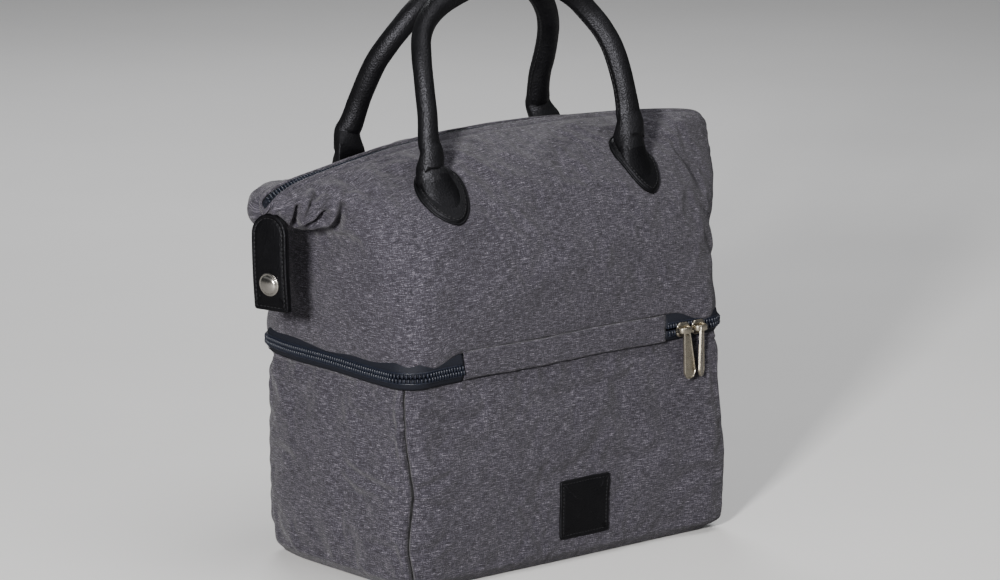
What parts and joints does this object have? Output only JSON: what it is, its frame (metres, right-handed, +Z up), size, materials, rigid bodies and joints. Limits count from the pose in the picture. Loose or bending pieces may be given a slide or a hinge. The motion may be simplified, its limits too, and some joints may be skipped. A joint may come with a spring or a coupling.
{
  "type": "insulated cooler bag",
  "caption": "Soft insulated tote with a zipped lower compartment, tip-forward upper compartment with zipped mouth, rolled handles and snap end tabs.",
  "frame": {"origin": "centre of the footprint of the lower compartment, on the floor", "axes": "+X to the right seen from the front, +Y to the back (the front faces -Y), +Z up"},
  "size_m": [0.4088, 0.1765, 0.3993],
  "materials": {
    "heather_fabric": "heathered woven polyester",
    "base_fabric": "plain dark woven",
    "black_leather": "grained, semi-matt",
    "navy_zip_tape": "woven tape",
    "navy_zip_coil": "moulded coil",
    "warm_nickel": "satin nickel",
    "white_foam": "closed-cell foam",
    "silver_liner": "wipe-clean silver film",
    "stiffener_board": "board",
    "cord_core": "twisted cord"
  },
  "bodies": {
    "lower_compartment": {"base_panel": "base_fabric", "base_board": "stiffener_board", "lower_front_panel": "heather_fabric", "lower_rear_panel": "heather_fabric", "lower_left_panel": "heather_fabric", "lower_right_panel": "heather_fabric", "lower_foam": "white_foam", "lower_liner": "silver_liner", "lower_rim_binding": "navy_zip_tape", "hinge_band": "heather_fabric", "compartment_zip_lower_tape": "navy_zip_tape", "compartment_zip_lower_coil": "navy_zip_coil", "label_patch": "black_leather"},
    "upper_compartment": {"upper_front_panel": "heather_fabric", "upper_rear_panel": "heather_fabric", "upper_foam": "white_foam", "upper_liner": "silver_liner", "divider_foam": "white_foam", "divider_lining": "silver_liner", "compartment_zip_upper_tape": "navy_zip_tape", "compartment_zip_upper_coil": "navy_zip_coil", "mouth_zip_left_end": "navy_zip_coil", "mouth_zip_right_end": "navy_zip_coil"},
    "front_mouth": {"front_mouth_panel": "heather_fabric", "front_mouth_lining": "silver_liner", "mouth_zip_front_tape": "navy_zip_tape", "mouth_zip_front_coil": "navy_zip_coil", "front_handle_leaf_left": "black_leather", "front_handle_leaf_right": "black_leather"},
    "rear_mouth": {"rear_mouth_panel": "heather_fabric", "rear_mouth_lining": "silver_liner", "mouth_zip_rear_tape": "navy_zip_tape", "mouth_zip_rear_coil": "navy_zip_coil", "rear_handle_leaf_left": "black_leather", "rear_handle_leaf_right": "black_leather"},
    "front_handle": {"front_handle_sleeve": "black_leather", "front_handle_core": "cord_core"},
    "rear_handle": {"rear_handle_sleeve": "black_leather", "rear_handle_core": "cord_core"},
    "left_tab": {"left_end_tab": "black_leather", "left_snap_cap": "warm_nickel", "left_snap_base": "warm_nickel"},
    "right_tab": {"right_end_tab": "black_leather", "right_snap_cap": "warm_nickel", "right_snap_base": "warm_nickel"},
    "mouth_slider": {"top_slider": "warm_nickel"},
    "mouth_pull": {"top_pull": "warm_nickel"},
    "left_slider_body": {"left_slider": "warm_nickel"},
    "left_pull_body": {"left_pull": "warm_nickel"},
    "right_slider_body": {"right_slider": "warm_nickel"},
    "right_pull_body": {"right_pull": "warm_nickel"}
  },
  "joints": [
    {"name": "upper_tilt", "type": "hinge", "parent": "lower_compartment", "child": "upper_compartment", "pos_m": [0, -0.0835, 0.159], "axis": [1, 0, 0], "range_deg": [0, 100]},
    {"name": "front_mouth_open", "type": "hinge", "parent": "upper_compartment", "child": "front_mouth", "pos_m": [0, -0.078, 0.229], "axis": [1, 0, 0], "range_deg": [0, 28], "stiffness_Nm_per_rad": 1.2},
    {"name": "rear_mouth_open", "type": "hinge", "parent": "upper_compartment", "child": "rear_mouth", "pos_m": [0, 0.078, 0.229], "axis": [-1, 0, 0], "range_deg": [0, 28], "stiffness_Nm_per_rad": 1.2},
    {"name": "front_handle_swing", "type": "hinge", "parent": "front_mouth", "child": "front_handle", "pos_m": [0, -0.0585, 0.276], "axis": [-1, 0, 0], "range_deg": [-130, 0]},
    {"name": "rear_handle_swing", "type": "hinge", "parent": "rear_mouth", "child": "rear_handle", "pos_m": [0, 0.0585, 0.276], "axis": [1, 0, 0], "range_deg": [-130, 0]},
    {"name": "left_tab_swing", "type": "hinge", "parent": "upper_compartment", "child": "left_tab", "pos_m": [-0.1991, 0, 0.251], "axis": [0, 1, 0], "range_deg": [-20, 140]},
    {"name": "right_tab_swing", "type": "hinge", "parent": "upper_compartment", "child": "right_tab", "pos_m": [0.1991, 0, 0.251], "axis": [0, -1, 0], "range_deg": [-20, 140]},
    {"name": "mouth_slider_travel", "type": "hinge", "parent": "upper_compartment", "child": "mouth_slider", "pos_m": [0, 0, -0.5395], "axis": [0, 1, 0], "range_deg": [-21.9, 0]},
    {"name": "mouth_pull_swing", "type": "hinge", "parent": "mouth_slider", "child": "mouth_pull", "pos_m": [0.15895, 0, 0.28113], "axis": [0.9817, 0, -0.1904], "range_deg": [0, 150]},
    {"name": "left_slider_travel", "type": "slide", "parent": "lower_compartment", "child": "left_slider_body", "axis": [1, 0, 0], "range_m": [-0.006, 0.002]},
    {"name": "left_pull_swing", "type": "hinge", "parent": "left_slider_body", "child": "left_pull_body", "pos_m": [0.1, -0.0891, 0.147], "axis": [1, 0, 0], "range_deg": [-150, 0]},
    {"name": "right_slider_travel", "type": "slide", "parent": "lower_compartment", "child": "right_slider_body", "axis": [1, 0, 0], "range_m": [-0.002, 0.008]},
    {"name": "right_pull_swing", "type": "hinge", "parent": "right_slider_body", "child": "right_pull_body", "pos_m": [0.114, -0.0891, 0.147], "axis": [1, 0, 0], "range_deg": [-150, 0]}
  ]
}
